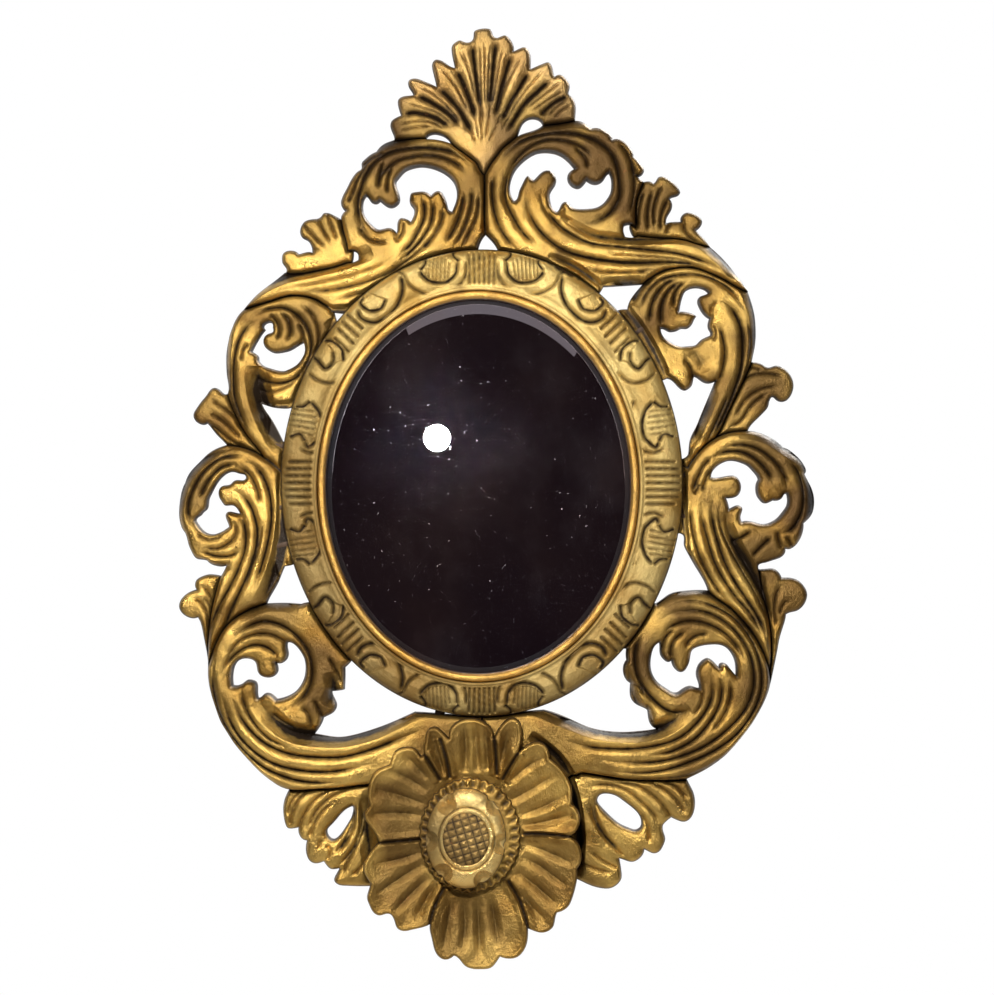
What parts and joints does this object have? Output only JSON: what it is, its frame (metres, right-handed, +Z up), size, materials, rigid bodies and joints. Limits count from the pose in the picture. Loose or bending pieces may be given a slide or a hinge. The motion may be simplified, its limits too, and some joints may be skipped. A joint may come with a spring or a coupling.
{
  "type": "girandole mirror",
  "caption": "Oval bevelled wall mirror in a carved, pierced and gilt scrollwork frame with a palmette crest and a large flower rosette below the glass.",
  "frame": {"origin": "middle of the oval frame, on the wall plane at the back", "axes": "+Z up, -Y out of the wall towards the viewer, +X to the viewer's right"},
  "size_m": [0.5107, 0.057, 0.7529],
  "materials": {
    "gilt_wood": "carved and water gilt, worn gold leaf over reddish bole",
    "gilt_slip": "burnished gold leaf",
    "back_wood": "bare aged timber",
    "backboard_wood": "bare thin board",
    "dowel_wood": "bare dowel",
    "mirror": "silvered and bevelled",
    "screw_steel": "dull",
    "hanger_brass": "aged",
    "button_brass": "aged"
  },
  "bodies": {
    "mirror": {"crest_palmette": "gilt_wood", "upper_scroll_left": "gilt_wood", "upper_scroll_right": "gilt_wood", "flank_scroll_left": "gilt_wood", "flank_scroll_right": "gilt_wood", "side_scroll_left": "gilt_wood", "side_scroll_right": "gilt_wood", "lower_scroll_left": "gilt_wood", "lower_scroll_right": "gilt_wood", "shoulder_leaf_left": "gilt_wood", "shoulder_leaf_right": "gilt_wood", "sprig_left_upper": "gilt_wood", "sprig_right_upper": "gilt_wood", "sprig_left_lower": "gilt_wood", "sprig_right_lower": "gilt_wood", "skirt_leaf_left": "gilt_wood", "skirt_leaf_right": "gilt_wood", "bottom_block": "back_wood", "oval_frame": "gilt_wood", "sight_slip": "gilt_slip", "mirror_glass": "mirror", "backboard": "backboard_wood", "turn_button_screws": "screw_steel", "hanger_plate": "hanger_brass", "hanger_screws": "screw_steel", "joint_dowels": "dowel_wood", "rosette_petals": "gilt_wood", "rosette_collar": "gilt_wood", "rosette_boss": "gilt_wood", "rosette_seed": "gilt_wood", "rosette_dowel": "dowel_wood"},
    "turn_button_1": {"turn_button_1": "button_brass"},
    "turn_button_2": {"turn_button_2": "button_brass"},
    "turn_button_3": {"turn_button_3": "button_brass"},
    "turn_button_4": {"turn_button_4": "button_brass"},
    "turn_button_5": {"turn_button_5": "button_brass"},
    "turn_button_6": {"turn_button_6": "button_brass"},
    "hanger_ring": {"hanger_ring": "hanger_brass"}
  },
  "joints": [
    {"name": "turn_button_1_turn", "type": "hinge", "parent": "mirror", "child": "turn_button_1", "pos_m": [0.11703, -0.00615, 0.08045], "axis": [0, 1, 0], "range_deg": [0, 90]},
    {"name": "turn_button_2_turn", "type": "hinge", "parent": "mirror", "child": "turn_button_2", "pos_m": [-0.003, -0.00615, 0.1636], "axis": [0, 1, 0], "range_deg": [0, 90]},
    {"name": "turn_button_3_turn", "type": "hinge", "parent": "mirror", "child": "turn_button_3", "pos_m": [-0.12303, -0.00615, 0.08045], "axis": [0, 1, 0], "range_deg": [0, 90]},
    {"name": "turn_button_4_turn", "type": "hinge", "parent": "mirror", "child": "turn_button_4", "pos_m": [-0.12303, -0.00615, -0.08585], "axis": [0, 1, 0], "range_deg": [0, 90]},
    {"name": "turn_button_5_turn", "type": "hinge", "parent": "mirror", "child": "turn_button_5", "pos_m": [-0.003, -0.00615, -0.169], "axis": [0, 1, 0], "range_deg": [0, 90]},
    {"name": "turn_button_6_turn", "type": "hinge", "parent": "mirror", "child": "turn_button_6", "pos_m": [0.11703, -0.00615, -0.08585], "axis": [0, 1, 0], "range_deg": [0, 90]},
    {"name": "hanger_ring_swing", "type": "hinge", "parent": "mirror", "child": "hanger_ring", "pos_m": [0.002, -0.0043, 0.228], "axis": [1, 0, 0], "range_deg": [0, 180]}
  ]
}
